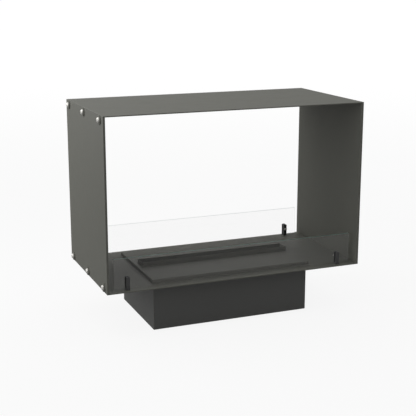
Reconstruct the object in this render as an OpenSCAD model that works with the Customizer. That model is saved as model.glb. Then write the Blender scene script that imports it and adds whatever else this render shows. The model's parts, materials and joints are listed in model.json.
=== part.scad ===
// See-through water vapour fireplace: an open steel tunnel with low glass screens
// and a drop-in cassette that makes the mist. Millimetres, +Z up, front towards -Y.
// The origin is the centre of the cassette housing's underside.

/* [Frame] */
// Width of the frame over its side covers
frame_w = 800; // [760:10:1000]
// Depth of the frame from front edge to rear edge
frame_d = 400; // [385:5:500]
// Height of the frame from underside to top
frame_h = 500; // [400:10:700]
// Thickness of the top, floor and wall sheets
panel_t = 3.2; // [2.6:0.2:4]
// Thickness of the side covers
cover_t = 3.2; // [2:0.2:5]
// Length of each finger that joins a wall to the top or floor sheet
finger_len = 60; // [30:5:80]
// Distance of the outer fingers' centres from the front and rear edges
finger_inset = 70; // [60:5:90]

/* [Side screws] */
// Shank diameter of the side screws
side_screw_d = 8; // [5:1:8]
// Head diameter of the side screws
side_head_d = 15; // [12:0.5:16]
// Head height of the side screws
side_head_h = 5.5; // [4.5:0.1:6.5]
// Key size of the side screws, across flats
side_key = 5; // [4:0.5:6]
// Diameter of the washers under the side screws
washer_d = 25; // [20:0.5:27]
// Thickness of the washers under the side screws
washer_t = 3; // [2:0.2:4]
// Height of the screw rows from the frame's top and bottom edges
side_screw_rise = 13.6; // [13.5:0.1:20]
// Distance of the outer screws from the front and rear edges
side_screw_inset = 32; // [20:1:50]

/* [Glass screens] */
// Gap between the ends of a pane and the frame's outer sides
glass_end_gap = 25; // [10:1:40]
// Height of each pane
glass_h = 88; // [70:1:150]
// Thickness of each pane
glass_t = 5; // [4:0.5:6]
// Distance of each pane's middle from the frame's front or rear edge
glass_inset = 20; // [16:1:24]

/* [Glass clips] */
// Width of a clip along the pane
clip_w = 11; // [10:0.5:16]
// Height of a clip above the floor
clip_h = 38.5; // [32:0.5:50]
// Thickness of a clip's outer leg
clip_outer_leg = 4; // [3:0.5:5]
// Thickness of a clip's inner leg, which carries the pinch screw
clip_inner_leg = 6; // [5:0.5:8]
// Thickness of a clip's foot below the pane
clip_foot = 4; // [3.5:0.5:6]
// Corner radius of a clip's top
clip_round = 3; // [1:0.5:4]
// Distance of the clips' middles from the frame's outer sides
clip_inset = 65; // [50:1:90]
// Thickness of the rubber pad between clip and pane
pad_t = 1; // [0.6:0.1:1.5]
// Height of the pinch screw above the floor
pinch_rise = 23; // [18:1:26]
// Shank diameter of the pinch screws
pinch_d = 5; // [4:0.5:5]
// Head diameter of the pinch screws
pinch_head_d = 8.5; // [7:0.5:9]
// Head height of the pinch screws
pinch_head_h = 5; // [3:0.5:6]
// Shank diameter of the countersunk screws under the clips
foot_screw_d = 4; // [3:0.5:4]
// Head diameter of the countersunk screws under the clips
foot_head_d = 8; // [7:0.5:8]

/* [Cassette housing] */
// Width of the housing
housing_w = 495; // [495:1:520]
// Depth of the housing
housing_d = 295; // [290:1:310]
// Height of the housing below the frame
housing_h = 142; // [142:1:170]
// Sheet thickness of the housing
housing_t = 1.5; // [1:0.1:2]
// Corner radius of the housing's flange and of the seal on it
housing_r = 3; // [2.5:0.5:6]
// Gap between the housing and the cut-out in the floor sheet
cutout_gap = 1; // [0.5:0.1:1.2]
// Width of an air slot in the rear wall
vent_w = 4; // [3:0.5:5]
// Height of an air slot in the rear wall
vent_h = 40; // [20:2:50]
// Distance between air slots
vent_pitch = 10; // [8:0.5:12]
// Number of air slots behind each fan
vent_count = 7; // [3:1:8]

/* [Deck] */
// Overhang of the deck beyond the housing at each end
deck_over_x = 5; // [5:0.5:12]
// Overhang of the deck beyond the housing at front and rear
deck_over_y = 6.5; // [5:0.5:8]
// Height of the deck above the floor sheet
deck_h = 10.5; // [9:0.5:14]
// Sheet thickness of the deck
deck_t = 1.5; // [1:0.1:2]
// Outer bend radius of the deck's edges
deck_r = 2.5; // [2.1:0.1:3]
// Running gap round the deck
deck_gap = 0.4; // [0.3:0.1:0.6]

/* [Mist outlet] */
// Distance of the outlet collar's ends from the basin's ends
collar_inset = 2; // [1:0.5:40]
// Width of the outlet collar
collar_d = 42; // [38:1:50]
// Height of the collar above the deck
collar_h = 12.5; // [8:0.5:20]
// Sheet thickness of the collar and the basin's lid
collar_t = 1.5; // [1:0.1:2]
// Gap between the collar and the slot in the deck
slot_gap = 0.75; // [0.5:0.05:1]

/* [Light bars] */
// Depth of a light bar from the collar wall into the slot
bar_d = 7; // [6:0.5:8]
// Height of a light bar
bar_h = 12; // [8:0.5:14]
// Distance of each bar's ends from the collar's ends
bar_margin = 8; // [4:1:20]
// Distance from the collar's top down to the light bars
bar_drop = 24; // [20:1:26]
// Width of the lens set into a bar
lens_d = 4.6; // [3:0.2:5]
// Depth of the lens groove
lens_h = 3; // [2:0.2:4]

/* [Mist basin] */
// Gap between the basin and the housing at each end
basin_end_gap = 4; // [3:0.5:8]
// Width of the basin
basin_d = 100; // [96:1:104]
// Height of the basin's floor above the housing's floor
basin_rise = 14.5; // [13:0.5:16]
// Height of the basin
basin_h = 110; // [108:1:112]
// Wall thickness of the basin
basin_t = 3; // [2:0.2:4]
// Edge radius of the basin
basin_r = 6; // [5:0.5:8]
// Gap between the last mist maker and the level switch's float
maker_gap = 18; // [6:1:50]
// Flange diameter of a mist maker
maker_d = 36; // [30:1:40]
// Neck diameter of a mist maker, through the basin's floor
maker_neck_d = 26; // [22:1:28]
// Diameter of a mist maker's ceramic disc
maker_disc_d = 20; // [16:1:20]

/* [Level switch] */
// Distance of the level switch from the basin's right end
float_inset = 34; // [24:1:40]
// Diameter of the level switch's stem
float_stem_d = 5; // [4:0.5:6]
// Diameter of the float
float_d = 24; // [20:1:26]
// Height of the float
float_h = 18; // [14:1:22]
// Travel of the float along its stem
float_travel = 22; // [15:1:30]

/* [Water tank] */
// Height of the tank
tank_h = 116; // [100:1:118]
// Wall thickness of the tank
tank_t = 2.5; // [2:0.1:4]
// Edge radius of the tank
tank_r = 10; // [6:1:14]
// Distance of the filler neck from the tank's left end
neck_inset = 62; // [45:1:90]
// Outer diameter of the filler neck
neck_d = 44; // [36:1:48]
// Height of the filler neck
neck_h = 14; // [10:1:14]
// Outer diameter of the filler cap
cap_d = 54; // [50:1:60]
// Number of grip flutes round the cap
cap_flutes = 20; // [12:2:28]

/* [Pump and hoses] */
// Side of the square pump head
pump_head = 50; // [44:1:54]
// Thickness of the pump head
pump_t = 24; // [20:1:26]
// Motor diameter
motor_d = 28; // [24:1:34]
// Motor length
motor_l = 34; // [26:1:36]
// Gap between the motor and the housing's end plate
motor_gap = 30; // [20:1:50]
// Height of the pump's axis above the housing's floor
pump_rise = 60; // [56:1:66]
// Outer diameter of the hoses
hose_d = 8; // [7:0.5:9]
// Bore of the hoses
hose_bore = 5; // [4:0.5:5]
// Bend radius of the hoses at the middle of the tube
hose_bend = 14; // [12:1:16]

/* [Fans] */
// Side of a fan's square frame
fan_size = 60; // [50:1:60]
// Depth of a fan's frame
fan_depth = 20; // [15:1:25]
// Distance of each fan from the middle of the basin
fan_x = 70; // [50:1:90]
// Height of the fans' axes above the basin's underside
fan_rise = 74; // [70:1:76]
// Hub diameter of a rotor
fan_hub_d = 24; // [18:1:28]
// Number of blades on a rotor
fan_blades = 7; // [5:1:9]
// Twist of a blade over its depth
fan_twist = 34; // [20:1:40]
// Gap between blade tips and the frame's bore
fan_tip_gap = 0.8; // [0.5:0.1:1.5]
// Diameter of a fan's spindle
spindle_d = 3; // [2:0.5:4]
// Distance between a fan's screw holes
fan_hole_pitch = 50; // [40:1:50]

/* [Electronics] */
// Length of the control board
board_w = 112; // [90:2:120]
// Width of the control board
board_d = 66; // [50:2:70]
// Height of the board's spacers
spacer_h = 8; // [5:1:12]
// Gap between the board and the housing's left end plate
board_end_gap = 18; // [10:1:30]
// Length of the power supply
supply_w = 118; // [90:2:124]
// Width of the power supply
supply_d = 56; // [40:2:60]
// Height of the power supply
supply_h = 38; // [26:1:50]
// Gap between the power supply and the housing's right end plate
supply_end_gap = 15; // [8:1:24]
// Diameter of the cable gland's thread
gland_d = 16; // [12:1:20]
// Bore of the cable gland
gland_bore = 8; // [6:0.5:9]
// Distance of the cable gland from the housing's right end
gland_inset = 42.5; // [35:0.5:60]
// Height of the cable gland and switch above the housing's underside
rear_rise = 96; // [90:1:110]
// Distance between the rocker switch and the cable gland
switch_gap = 40; // [34:1:60]
// Angle between the rocker's two rest positions
rocker_swing = 16; // [10:1:16]

/* [Hidden] */
$fn = 48;

// Colours as the photograph and such products show them
coat_black = "#3d3d3a";
deep_black = "#1d1d1c";
steel = "#c9c9c6";
glass_tint = [0.72, 0.86, 0.8, 0.35];
moulded_grey = "#8f9491";
moulded_white = "#d9dcda";
board_green = "#2c5c3f";
aluminium = "#b4b7b9";
ceramic = "#e6e2d6";
rocker_grey = "#4a4a48";
rubber_black = "#232323";
hose_clear = "#cfd6d2";
eps = 0.01;

// Clearances between pieces
thread_gap = 0.05;  // shank in its tapped hole
pass_gap = 0.5;     // shank in its clearance hole
fit_gap = 0.3;      // moulded piece beside its neighbour
run_gap = 0.05;     // spindle in its bearing bore
pad_play = 0.2;     // rubber pad in its clip

// Heights of the main levels
frame_z = housing_h;
floor_z = frame_z + panel_t;
deck_z = floor_z + deck_h;
collar_z = deck_z + collar_h;
top_z = frame_z + frame_h;

// Places across the frame; the screw holes stop short of the walls' inner faces
cover_x = frame_w / 2;
wall_x = cover_x - cover_t;
bore_x = wall_x - panel_t + 0.7;
glass_y = frame_d / 2 - glass_inset;
clip_x = frame_w / 2 - clip_inset;
glass_w = frame_w - 2 * glass_end_gap;
glass_z = floor_z + clip_foot + pad_t;
side_ys = [-frame_d / 2 + side_screw_inset, 0, frame_d / 2 - side_screw_inset];
side_zs = [frame_z + side_screw_rise, top_z - side_screw_rise];
finger_ys = [-frame_d / 2 + finger_inset, 0, frame_d / 2 - finger_inset];

// Deck and the flange that it hides
deck_w = housing_w + 2 * deck_over_x;
deck_d = housing_d + 2 * deck_over_y;
flange_w = deck_w - 2 * deck_t - 2 * deck_gap;
flange_d = deck_d - 2 * deck_t - 2 * deck_gap;
flange_z = floor_z + housing_t;

// Basin between the housing's end plates, its lid and what stands beside them
basin_w = housing_w - 2 * housing_t - 2 * basin_end_gap;
collar_w = basin_w - 2 * collar_inset;
basin_z = housing_t + basin_rise;
basin_top = basin_z + basin_h;
lid_w = basin_w + 2 * (fit_gap + collar_t);
lid_d = basin_d + 2 * (fit_gap + collar_t);
basin_floor = basin_z + basin_t;
bar_z = collar_z - bar_drop - bar_h;
bar_l = collar_w - 2 * collar_t - 2 * bar_margin;
collar_r = collar_t + 0.2;
maker_count = 5;
float_x = basin_w / 2 - float_inset;
maker_pitch = 2 * (float_x - float_d / 2 - maker_gap - maker_d / 2) / (maker_count - 1);
maker_flange_t = 3;
maker_neck_l = basin_t + 7;
maker_nut_d = maker_neck_d + 7;
maker_nut_h = 4;
foot_rail_t = 4;

// Tank in the front compartment, as long as the pump and its motor let it be
spigot_d = hose_bore - 0.1;
spigot_l = 8;
motor_boss = 2;
tank_end_gap = 3.6;
tank_y0 = -housing_d / 2 + housing_t + fit_gap;
tank_y1 = -lid_d / 2 - 1;
tank_d = tank_y1 - tank_y0;
tank_y = (tank_y0 + tank_y1) / 2;
tank_x0 = -housing_w / 2 + housing_t + tank_end_gap;
tank_x1 = housing_w / 2 - housing_t - motor_gap - motor_boss - motor_l - pump_t / 2
    - hose_bend - spigot_l;
tank_w = tank_x1 - tank_x0;
tank_top = housing_t + tank_h;
neck_x = tank_x0 + neck_inset;
neck_t = 3;
cap_t = 2.5;
cap_gap = 0.3;
cap_lift = 1;
cap_h = neck_h + cap_gap + cap_t - cap_lift;
cap_z = tank_top + cap_lift;

// Pump beside the tank
pump_x = tank_x1 + spigot_l + hose_bend;
pump_z = housing_t + pump_rise;
suction_y = tank_y - pump_head / 4;
delivery_y = tank_y + pump_head / 4;
suction_z = pump_z - pump_head / 2 - spigot_l - hose_bend;
delivery_z = pump_z + pump_head / 2 + spigot_l + hose_bend;

// Fans on the basin's rear wall
fan_y = basin_d / 2;
fan_z = basin_z + fan_rise;
fan_bore_d = fan_size - 3;
fan_strut_t = 2.5;
fan_strut_w = 3;
fan_strut_step = 0.2;
rotor_z = fan_strut_t + 1;
rotor_h = fan_depth - rotor_z - 1;
blade_r0 = fan_hub_d / 2 - 1.5;
blade_r1 = fan_bore_d / 2 - fan_tip_gap;
blade_h = rotor_h - 5;
blade_sweep = 12;
blade_camber = 1.4;
blade_mid_t = 2.2;
blade_edge_t = 0.9;
blade_spans = 4;
blade_steps = 5;
fan_screw_d = 3.6;
fan_screw_l = fan_depth + basin_t;

// Rear compartment
rear_inner = housing_d / 2 - housing_t;
rear_mid = (lid_d / 2 + rear_inner) / 2;
board_x = housing_w / 2 - housing_t - board_end_gap - board_w / 2;
supply_x = housing_w / 2 - housing_t - supply_end_gap - supply_w / 2;
gland_x = housing_w / 2 - gland_inset;
switch_x = gland_x - switch_gap;
board_z = housing_t + spacer_h;
board_t = 1.6;
board_hole_d = 3.4;
board_hole_inset = 5;
terminal_ways = 6;
terminal_pitch = 7.6;
terminal_d = 10;
capacitor_r = 5;
capacitor_h = 18;
capacitor_count = 3;
relay_w = 20;
relay_d = 16;
relay_h = 15;
sink_fins = 7;
sink_pitch = 5;
sink_fin_t = 2;
sink_base_h = 4;
sink_h = 22;
sink_l = 26;
rocker_tilt = rocker_swing / 2;

// Slot of a clip: the pane with its rubber on both sides
clip_slot = glass_t + 2 * pad_t + pad_play;

// Float at the bottom of its travel, and the stop ring above it
float_z = basin_floor + 5;
float_stop_z = float_z + float_h + float_travel + fit_gap;

// Rocker switch
switch_w = 24;
switch_h = 15;
switch_body_w = 21;
switch_body_h = 13;
switch_bezel = 2;
switch_depth = 14;
rocker_l = 15;
rocker_w = 9.6;
rocker_pivot = -3;
rocker_pin_d = 2.4;
rocker_room_l = 17.6;
rocker_room_w = rocker_w + 2 * fit_gap;

// Cable gland
gland_flats = gland_d + 6;
gland_body_l = 6;
gland_dome_l = 14;
gland_thread_l = 9;

// Points of an arc
function arc_pts(cx, cy, r, a0, a1, n = 5) =
    [for (i = [0 : n]) let (a = a0 + (a1 - a0) * i / n) [cx + r * cos(a), cy + r * sin(a)]];

// Outline of a rectangle with four rounded corners, centred
function round_rect(w, d, r) = concat(
    arc_pts(w / 2 - r, d / 2 - r, r, 0, 90), arc_pts(-w / 2 + r, d / 2 - r, r, 90, 180),
    arc_pts(-w / 2 + r, -d / 2 + r, r, 180, 270), arc_pts(w / 2 - r, -d / 2 + r, r, 270, 360));

// Outline of a pan seen from the side: rounded below, open corners above
function pan_side(w, h, r) = concat([[w / 2, h], [-w / 2, h]],
    arc_pts(-w / 2 + r, r, r, 180, 270), arc_pts(w / 2 - r, r, r, 270, 360));

// Block with rounded upright corners and rounded bottom edges
module pan_block(w, d, h, r) {
    intersection() {
        linear_extrude(h) polygon(round_rect(w, d, r));
        rotate([90, 0, 0]) linear_extrude(d + 2, center = true) polygon(pan_side(w, h, r));
        rotate([90, 0, 90]) linear_extrude(w + 2, center = true) polygon(pan_side(d, h, r));
    }
}

// Pan of even thickness, open at the top
module pan(w, d, h, t, r) {
    difference() {
        pan_block(w, d, h, r);
        translate([0, 0, t]) pan_block(w - 2 * t, d - 2 * t, h, r - t);
    }
}

// The same block with all its edges rounded
module soft_block(w, d, h, r) {
    intersection() {
        linear_extrude(h) polygon(round_rect(w, d, r));
        translate([0, 0, h / 2]) rotate([90, 0, 0])
            linear_extrude(d + 2, center = true) polygon(round_rect(w, h, r));
        translate([0, 0, h / 2]) rotate([90, 0, 90])
            linear_extrude(w + 2, center = true) polygon(round_rect(d, h, r));
    }
}

// Domed screw with a hexagon socket; the head stands on z = 0 and the shank hangs below
module domed_screw(d, head_d, head_h, length, key) {
    rim = head_h * 0.2;
    difference() {
        union() {
            rotate_extrude() polygon(concat([[0, 0], [head_d / 2, 0]],
                [for (a = [0 : 15 : 75])
                    [head_d / 2 * cos(a), rim + (head_h - rim) * sin(a)]],
                [[0, rim + (head_h - rim) * sin(75)]]));
            translate([0, 0, -length]) cylinder(d = d, h = length + eps);
        }
        translate([0, 0, head_h * 0.4]) cylinder(d = key / cos(30), h = head_h, $fn = 6);
    }
}

// Hexagon prism across flats
module hex_prism(flats, h) {
    cylinder(d = flats / cos(30), h = h, $fn = 6);
}

// Places of the side screws on one side: local z points out of the frame, 0 is the cover's face
module at_side_screws(side) {
    for (y = side_ys, z = side_zs)
        translate([side * cover_x, y, z]) rotate([0, side * 90, 0]) children();
}

// Bores for the side screws, from the bottom of their threads outwards
module side_screw_bores(side, r) {
    at_side_screws(side) translate([0, 0, bore_x - cover_x])
        cylinder(r = r, h = 2 * (panel_t + cover_t));
}

// Places of the wall fingers: z is the panel's lower face
module finger_notches(z) {
    for (side = [-1, 1], y = finger_ys)
        translate([side * (wall_x - panel_t / 2 + 0.5), y, z + panel_t / 2])
            cube([panel_t + 1, finger_len, panel_t + 1], center = true);
}

module top_panel() {
    color(coat_black) difference() {
        translate([0, 0, top_z - panel_t / 2])
            cube([2 * wall_x, frame_d, panel_t], center = true);
        finger_notches(top_z - panel_t);
    }
}

// Four places of the glass clips: each child is made with the fire side towards +Y
module at_clips() {
    for (sx = [-1, 1], sy = [-1, 1]) clip_place(sx, sy) children();
}

module clip_place(sx, sy) {
    translate([sx * clip_x, sy * glass_y, floor_z]) rotate([0, 0, sy < 0 ? 0 : 180]) children();
}

module floor_panel() {
    cut_w = housing_w + 2 * cutout_gap;
    cut_d = housing_d + 2 * cutout_gap;
    color(coat_black) difference() {
        translate([0, 0, frame_z + panel_t / 2])
            cube([2 * wall_x, frame_d, panel_t], center = true);
        finger_notches(frame_z);
        translate([0, 0, frame_z - 1]) linear_extrude(panel_t + 2)
            polygon(round_rect(cut_w, cut_d, cutout_gap));
        at_clips() translate([0, 0, -panel_t]) foot_screw_space();
    }
}

// Countersunk hole for a clip's foot screw, from the sheet's underside up
module foot_screw_space() {
    sink = (foot_head_d - foot_screw_d) / 2;
    translate([0, 0, -eps]) cylinder(d1 = foot_head_d + 0.4, d2 = foot_screw_d + 0.4, h = sink);
    translate([0, 0, -eps]) cylinder(d = foot_screw_d + 0.4, h = panel_t + 1);
}

module wall(side) {
    color(coat_black) difference() {
        translate([side * (wall_x - panel_t / 2), 0, frame_z + frame_h / 2]) {
            cube([panel_t, frame_d, frame_h - 2 * panel_t], center = true);
            for (y = finger_ys) translate([0, y, 0])
                cube([panel_t, finger_len, frame_h], center = true);
        }
        side_screw_bores(side, side_screw_d / 2 + thread_gap);
    }
}

module cover(side) {
    color(coat_black) difference() {
        translate([side * (cover_x - cover_t / 2), 0, frame_z + frame_h / 2])
            cube([cover_t, frame_d, frame_h], center = true);
        side_screw_bores(side, side_screw_d / 2 + pass_gap);
    }
}

// Thick washers with a bevelled outer edge
module screw_washers() {
    bore_r = side_screw_d / 2 + pass_gap;
    bevel = 0.5;
    color(coat_black) for (side = [-1, 1]) at_side_screws(side) rotate_extrude() polygon([
        [bore_r, 0], [washer_d / 2, 0], [washer_d / 2, washer_t - bevel],
        [washer_d / 2 - bevel, washer_t], [bore_r, washer_t]]);
}

module cover_screws() {
    length = washer_t + cover_x - bore_x - fit_gap;
    color(steel) for (side = [-1, 1]) at_side_screws(side) translate([0, 0, washer_t])
        domed_screw(side_screw_d, side_head_d, side_head_h, length, side_key);
}

module glass(side) {
    color(glass_tint) translate([0, side * glass_y, glass_z + glass_h / 2])
        rotate([90, 0, 0]) linear_extrude(glass_t, center = true)
            polygon(round_rect(glass_w, glass_h, 2));
}

module glass_clip(sx, sy) {
    depth = clip_outer_leg + clip_slot + clip_inner_leg;
    color(deep_black) clip_place(sx, sy) difference() {
        translate([0, depth - clip_slot / 2 - clip_outer_leg, 0])
            rotate([90, 0, 0]) linear_extrude(depth) polygon(concat(
                [[clip_w / 2, 0]],
                arc_pts(clip_w / 2 - clip_round, clip_h - clip_round, clip_round, 0, 90),
                arc_pts(-clip_w / 2 + clip_round, clip_h - clip_round, clip_round, 90, 180),
                [[-clip_w / 2, 0]]));
        translate([-clip_w, -clip_slot / 2, clip_foot])
            cube([2 * clip_w, clip_slot, clip_h]);
        translate([0, clip_slot / 2 - 1, pinch_rise]) rotate([-90, 0, 0])
            cylinder(d = pinch_d + 2 * thread_gap, h = clip_inner_leg + 2);
        translate([0, 0, -1])
            cylinder(d = foot_screw_d + 2 * thread_gap, h = clip_foot + 2);
    }
}

// Rubber saddle that keeps the pane off the clip, one in each clip
module glass_pads() {
    pad_w = clip_w - 1;
    color(rubber_black) at_clips() difference() {
        translate([-pad_w / 2, -glass_t / 2 - pad_t, clip_foot])
            cube([pad_w, glass_t + 2 * pad_t, clip_h - clip_foot - 2]);
        translate([-clip_w, -glass_t / 2, clip_foot + pad_t])
            cube([2 * clip_w, glass_t, clip_h]);
    }
}

module clip_pinch_screws() {
    color(steel) at_clips()
        translate([0, clip_slot / 2 + clip_inner_leg, pinch_rise]) rotate([-90, 0, 0])
            difference() {
                union() {
                    cylinder(d = pinch_head_d, h = pinch_head_h);
                    translate([0, 0, -clip_inner_leg])
                        cylinder(d = pinch_d, h = clip_inner_leg + eps);
                }
                translate([0, 0, pinch_head_h / 2]) hex_prism(pinch_d - 1, pinch_head_h);
            }
}

module clip_foot_screws() {
    sink = (foot_head_d - foot_screw_d) / 2;
    length = panel_t + clip_foot - 0.3;
    color(steel) at_clips() translate([0, 0, -panel_t]) difference() {
        union() {
            cylinder(d1 = foot_head_d, d2 = foot_screw_d, h = sink);
            cylinder(d = foot_screw_d, h = length);
        }
        translate([0, 0, -eps]) hex_prism(foot_screw_d * 0.6, sink);
    }
}

module deck_plate() {
    color(coat_black) difference() {
        translate([0, 0, deck_z]) mirror([0, 0, 1]) pan(deck_w, deck_d, deck_h, deck_t, deck_r);
        translate([0, 0, deck_z]) cube([collar_w + 2 * slot_gap, collar_d + 2 * slot_gap,
                                        4 * deck_t], center = true);
    }
}

// Foam ring on the housing's flange that stops mist leaking under the deck
module deck_seal() {
    seal_h = deck_z - deck_t - flange_z - fit_gap;
    in_w = housing_w - 2 * housing_t;
    in_d = housing_d - 2 * housing_t;
    color(rubber_black) translate([0, 0, flange_z]) linear_extrude(seal_h) difference() {
        polygon(round_rect(flange_w - 1, flange_d - 1, housing_r));
        polygon(round_rect(in_w, in_d, housing_r));
    }
}

// One upright slot with round ends, cut through the rear wall
module rear_slot(w, h) {
    rotate([90, 0, 0]) {
        cube([w, h - w, 4 * housing_t], center = true);
        for (s = [-1, 1]) translate([0, s * (h - w) / 2, 0])
            cylinder(d = w, h = 4 * housing_t, center = true);
    }
}

// Floor plate between the housing's four walls
module housing_floor() {
    color(coat_black) translate([0, 0, housing_t / 2])
        cube([housing_w - 2 * housing_t, housing_d - 2 * housing_t, housing_t], center = true);
}

// Long wall of the housing between its end plates: side is -1 for the front, 1 for the rear
module housing_wall(side = -1) {
    color(coat_black) translate([0, side * (housing_d - housing_t) / 2, flange_z / 2])
        cube([housing_w - 2 * housing_t, housing_t, flange_z], center = true);
}

// Rear wall with the fans' slots and the holes of the gland and the switch
module housing_rear() {
    wall_y = (housing_d - housing_t) / 2;
    difference() {
        housing_wall(1);
        for (s = [-1, 1], i = [0 : vent_count - 1])
            translate([s * fan_x + (i - (vent_count - 1) / 2) * vent_pitch, wall_y, fan_z])
                rear_slot(vent_w, vent_h);
        translate([gland_x, wall_y, rear_rise]) rotate([90, 0, 0])
            cylinder(d = gland_d + 2 * thread_gap, h = 4 * housing_t, center = true);
        translate([switch_x, wall_y, rear_rise])
            cube([switch_body_w + 2 * thread_gap, 4 * housing_t, switch_body_h + 2 * thread_gap],
                 center = true);
    }
}

// Plate that closes one end of the housing
module housing_end(side) {
    color(coat_black) translate([side * (housing_w - housing_t) / 2, 0, flange_z / 2])
        cube([housing_t, housing_d, flange_z], center = true);
}

// Flat ring round the housing's mouth that rests on the floor sheet
module housing_flange() {
    color(coat_black) translate([0, 0, floor_z]) linear_extrude(housing_t) difference() {
        polygon(round_rect(flange_w, flange_d, housing_r));
        square([housing_w, housing_d], center = true);
    }
}

// Flat lid of the basin, with a slot for the collar
module basin_lid() {
    color(coat_black) translate([0, 0, basin_top]) linear_extrude(collar_t) difference() {
        polygon(round_rect(lid_w, lid_d, basin_r));
        collar_outline(0);
    }
}

module collar_outline(inset) {
    polygon(round_rect(collar_w - 2 * inset, collar_d - 2 * inset, collar_r - inset));
}

// Collar that leads the mist from the basin's lid up through the deck
module mist_outlet() {
    color(coat_black) translate([0, 0, basin_top]) linear_extrude(collar_z - basin_top)
        difference() {
            collar_outline(0);
            collar_outline(collar_t);
        }
}

// Light bar on one long wall of the collar: side is -1 for the front, 1 for the rear
module light_bar(side) {
    wall_in = collar_d / 2 - collar_t;
    color(aluminium) translate([0, side * (wall_in - bar_d / 2), bar_z]) difference() {
        translate([0, 0, bar_h / 2]) cube([bar_l, bar_d, bar_h], center = true);
        translate([0, 0, bar_h]) cube([bar_l + 1, lens_d, 2 * lens_h], center = true);
    }
}

// Clear strip that closes the bar's groove, slightly domed
module light_lens(side) {
    wall_in = collar_d / 2 - collar_t;
    crown = 0.8;
    color(moulded_white)
        translate([0, side * (wall_in - bar_d / 2), bar_z + bar_h - lens_h])
        rotate([90, 0, 90]) linear_extrude(bar_l, center = true) polygon(concat(
            [[-lens_d / 2, 0], [lens_d / 2, 0], [lens_d / 2, lens_h]],
            [for (i = [1 : 5]) let (u = 1 - i / 3)
                [lens_d / 2 * u, lens_h + crown * (1 - u * u)]],
            [[-lens_d / 2, lens_h]]));
}

function maker_x(i) = (i - (maker_count - 1) / 2) * maker_pitch;

module mist_basin() {
    rail_y = basin_d / 2 - basin_r - foot_rail_t;
    color(moulded_grey) difference() {
        union() {
            translate([0, 0, basin_z]) pan(basin_w, basin_d, basin_h, basin_t, basin_r);
            for (s = [-1, 1]) translate([0, s * rail_y, housing_t + basin_rise / 2 + 1])
                cube([basin_w - 40, foot_rail_t, basin_rise + 2], center = true);
            translate([pump_x, -basin_d / 2 - spigot_l, delivery_z]) rotate([-90, 0, 0])
                cylinder(d = spigot_d, h = spigot_l + basin_t / 2);
        }
        for (i = [0 : maker_count - 1]) translate([maker_x(i), 0, basin_z - 1])
            cylinder(d = maker_neck_d + 2 * fit_gap, h = basin_t + 2);
        for (s = [-1, 1]) translate([s * fan_x, fan_y - basin_t / 2, fan_z])
            rotate([90, 0, 0]) {
                cylinder(d = fan_bore_d - 3, h = 2 * basin_t, center = true);
                for (u = [-1, 1], v = [-1, 1])
                    translate([u * fan_hole_pitch / 2, v * fan_hole_pitch / 2, 0])
                        cylinder(d = fan_screw_d + 2 * thread_gap, h = 2 * basin_t, center = true);
            }
        translate([pump_x, -basin_d / 2 - spigot_l - 1, delivery_z]) rotate([-90, 0, 0])
            cylinder(d = spigot_d - 1.8, h = spigot_l + basin_t + 2);
    }
}

// Flanged cups with a ceramic disc in the mouth, set through the basin's floor
module mist_makers() {
    rim = maker_disc_d / 2 + 1.5;
    for (i = [0 : maker_count - 1]) translate([maker_x(i), 0, basin_floor]) {
        color(steel) rotate_extrude() polygon([
            [0, 0.5], [rim, 0.5], [rim, maker_flange_t], [maker_d / 2 - 1, maker_flange_t],
            [maker_d / 2, maker_flange_t - 1], [maker_d / 2, 0], [maker_neck_d / 2, 0],
            [maker_neck_d / 2, -maker_neck_l], [0, -maker_neck_l]]);
        color(ceramic) translate([0, 0, 0.5]) cylinder(d = maker_disc_d, h = 1);
    }
}

module maker_nuts() {
    color(moulded_grey) for (i = [0 : maker_count - 1])
        translate([maker_x(i), 0, basin_z - maker_nut_h]) difference() {
            hex_prism(maker_nut_d, maker_nut_h);
            translate([0, 0, -1])
                cylinder(d = maker_neck_d + 2 * thread_gap, h = maker_nut_h + 2);
        }
}

// Stem of the level switch: foot, rod and stop ring
module float_stem() {
    r = float_stem_d / 2;
    color(steel) translate([float_x, 0, 0]) rotate_extrude() polygon([
        [0, basin_floor], [float_d / 3, basin_floor], [float_d / 3, basin_floor + 3],
        [r + 1.5, float_z - fit_gap], [r, float_z - fit_gap], [r, float_stop_z],
        [r + 2.5, float_stop_z], [r + 2.5, float_stop_z + 2], [r, float_stop_z + 3],
        [0, float_stop_z + 3]]);
}

module level_float() {
    r0 = float_stem_d / 2 + fit_gap;
    r1 = float_d / 2;
    color(moulded_white) translate([float_x, 0, float_z]) rotate_extrude() polygon(concat(
        [[r0, 0], [r1 - 2, 0]], arc_pts(r1 - 2, 2, 2, 270, 360, 3),
        arc_pts(r1 - 2, float_h - 2, 2, 0, 90, 3), [[r0, float_h]]));
}

module water_tank() {
    color(moulded_white) difference() {
        union() {
            translate([(tank_x0 + tank_x1) / 2, tank_y, housing_t]) difference() {
                soft_block(tank_w, tank_d, tank_h, tank_r);
                translate([0, 0, tank_t])
                    soft_block(tank_w - 2 * tank_t, tank_d - 2 * tank_t, tank_h - 2 * tank_t,
                               tank_r - tank_t);
            }
            translate([neck_x, tank_y, tank_top - tank_t])
                cylinder(d = neck_d, h = neck_h + tank_t);
            translate([tank_x1 - tank_t / 2, suction_y, suction_z]) rotate([0, 90, 0])
                cylinder(d = spigot_d, h = spigot_l + tank_t / 2);
        }
        translate([neck_x, tank_y, tank_top - 2 * tank_t])
            cylinder(d = neck_d - 2 * neck_t, h = neck_h + 3 * tank_t);
        translate([tank_x1 - 2 * tank_t, suction_y, suction_z]) rotate([0, 90, 0])
            cylinder(d = spigot_d - 1.8, h = spigot_l + 3 * tank_t);
    }
}

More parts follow.
